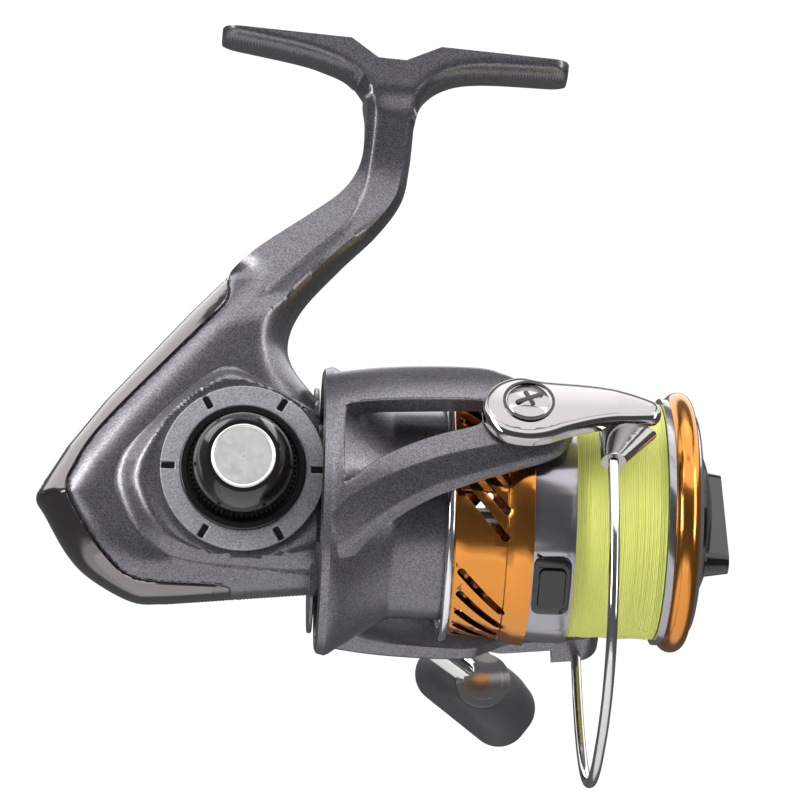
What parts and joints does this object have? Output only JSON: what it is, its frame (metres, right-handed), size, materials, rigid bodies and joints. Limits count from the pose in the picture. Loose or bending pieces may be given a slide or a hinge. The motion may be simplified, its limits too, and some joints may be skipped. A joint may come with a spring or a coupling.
{
  "type": "spinning reel",
  "caption": "Fixed-spool spinning reel with crank, rotor and bail, oscillating spool with wound line, drag knob and rod foot.",
  "frame": {"origin": "middle of the front pad of the rod foot, on its seating face, 15 mm ahead of the middle of the foot", "axes": "+Z outward normal of the seating face, +X forward along the rod towards its tip, +Y towards the handle side"},
  "size_m": [0.121, 0.1054, 0.1275],
  "materials": {
    "body_paint": "satin charcoal with fine metallic flake",
    "rear_shell": "dark polished nickel",
    "ring_grey": "speckled silver grey",
    "black_plastic": "glossy black",
    "steel": "machined",
    "bearing_steel": "ground",
    "gear_metal": "cut",
    "brass": "machined",
    "spun_metal": "spun finish",
    "bright_chrome": "polished",
    "dark_chrome": "black nickel, polished",
    "knob_rubber": "soft touch",
    "spool_grey": "gloss metallic grey",
    "gold": "orange gold anodised",
    "silver": "polished",
    "line": "braided line, fluorescent yellow green",
    "felt": "felt"
  },
  "bodies": {
    "root": {"housing_body": "body_paint", "side_cover": "body_paint", "rear_cover": "rear_shell", "cover_screws": "steel", "bearing_ring": "ring_grey", "cap_collar": "black_plastic", "bearing_outer_races": "bearing_steel", "bearing_balls": "bearing_steel", "pinion_bush": "brass", "clutch_ring": "steel", "clutch_rollers": "bearing_steel", "clutch_retainer": "black_plastic", "guide_rods": "steel", "cam_axle": "steel"},
    "crank": {"drive_gear": "gear_metal", "drive_shaft": "steel", "drive_bearing_sleeves": "bearing_steel", "handle_screw": "steel", "handle_screw_cap": "black_plastic", "cap_disc": "spun_metal", "handle_arm": "bright_chrome", "eye_cap": "bright_chrome", "knob_spindle": "steel"},
    "knob": {"handle_knob": "knob_rubber", "knob_bushes": "black_plastic", "knob_plug": "black_plastic"},
    "cam": {"cam_gear": "gear_metal"},
    "rotor": {"rotor": "body_paint", "pinion_gear": "brass", "pinion_bearing_sleeve": "bearing_steel", "clutch_sleeve": "steel", "rotor_nut": "steel", "nut_lock": "steel"},
    "bail": {"bail_arm": "dark_chrome", "bail_screw": "dark_chrome", "bail_cone": "dark_chrome", "bail_wire": "bright_chrome", "bail_holder": "body_paint", "holder_screw": "dark_chrome", "roller_pin": "steel"},
    "roller": {"line_roller": "dark_chrome"},
    "shaft": {"main_shaft": "steel", "slider_block": "gear_metal", "click_ratchet": "black_plastic", "spool_pin": "steel"},
    "spool": {"spool": "spool_grey", "skirt_ring": "gold", "rear_ring": "silver", "spool_lip": "gold", "face_ring": "silver", "line_winding": "line", "clip_frame": "black_plastic", "click_pawl": "black_plastic", "drag_felts": "felt", "drag_plates": "steel", "drag_snap_ring": "steel"},
    "clip": {"line_clip": "black_plastic"},
    "drag": {"drag_knob": "black_plastic", "drag_nut": "brass", "drag_spring": "steel"}
  },
  "joints": [
    {"name": "handle_crank", "type": "hinge", "parent": "root", "child": "crank", "pos_m": [-0.03411, 0, -0.08041], "axis": [0, 1, 0], "continuous": true},
    {"name": "knob_spin", "type": "hinge", "parent": "crank", "child": "knob", "pos_m": [0.0137, 0.0445, -0.10615], "axis": [0, 1, 0], "continuous": true},
    {"name": "rotor_spin", "type": "hinge", "parent": "root", "child": "rotor", "pos_m": [-0.0338, 0, -0.0849], "axis": [0.9976, 0, 0.0698], "continuous": true},
    {"name": "cam_spin", "type": "hinge", "parent": "root", "child": "cam", "pos_m": [-0.04652, 0, -0.08429], "axis": [0, 1, 0], "continuous": true},
    {"name": "spool_travel", "type": "slide", "parent": "root", "child": "shaft", "axis": [0.9976, 0, 0.0698], "range_m": [-0.007, 0.007]},
    {"name": "spool_spin", "type": "hinge", "parent": "shaft", "child": "spool", "pos_m": [-0.0338, 0, -0.0849], "axis": [0.9976, 0, 0.0698], "continuous": true},
    {"name": "drag_knob_turn", "type": "hinge", "parent": "shaft", "child": "drag", "pos_m": [-0.0338, 0, -0.0849], "axis": [0.9976, 0, 0.0698], "range_deg": [-360, 360]},
    {"name": "bail_flip", "type": "hinge", "parent": "rotor", "child": "bail", "pos_m": [0.01378, 0, -0.08157], "axis": [-0.0359, -0.8572, 0.5138], "range_deg": [0, 105]},
    {"name": "roller_spin", "type": "hinge", "parent": "bail", "child": "roller", "pos_m": [0.02971, -0.02229, -0.06703], "axis": [-0.0359, -0.8572, 0.5138], "continuous": true},
    {"name": "clip_press", "type": "slide", "parent": "spool", "child": "clip", "axis": [-0.0458, 0.7547, 0.6545], "range_m": [0, 0.0005], "stiffness_N_per_m": 300}
  ],
  "couplings": [
    {"joint": "rotor_spin", "follows": "handle_crank", "ratio": 5.25},
    {"joint": "cam_spin", "follows": "handle_crank", "ratio": -0.44444}
  ]
}
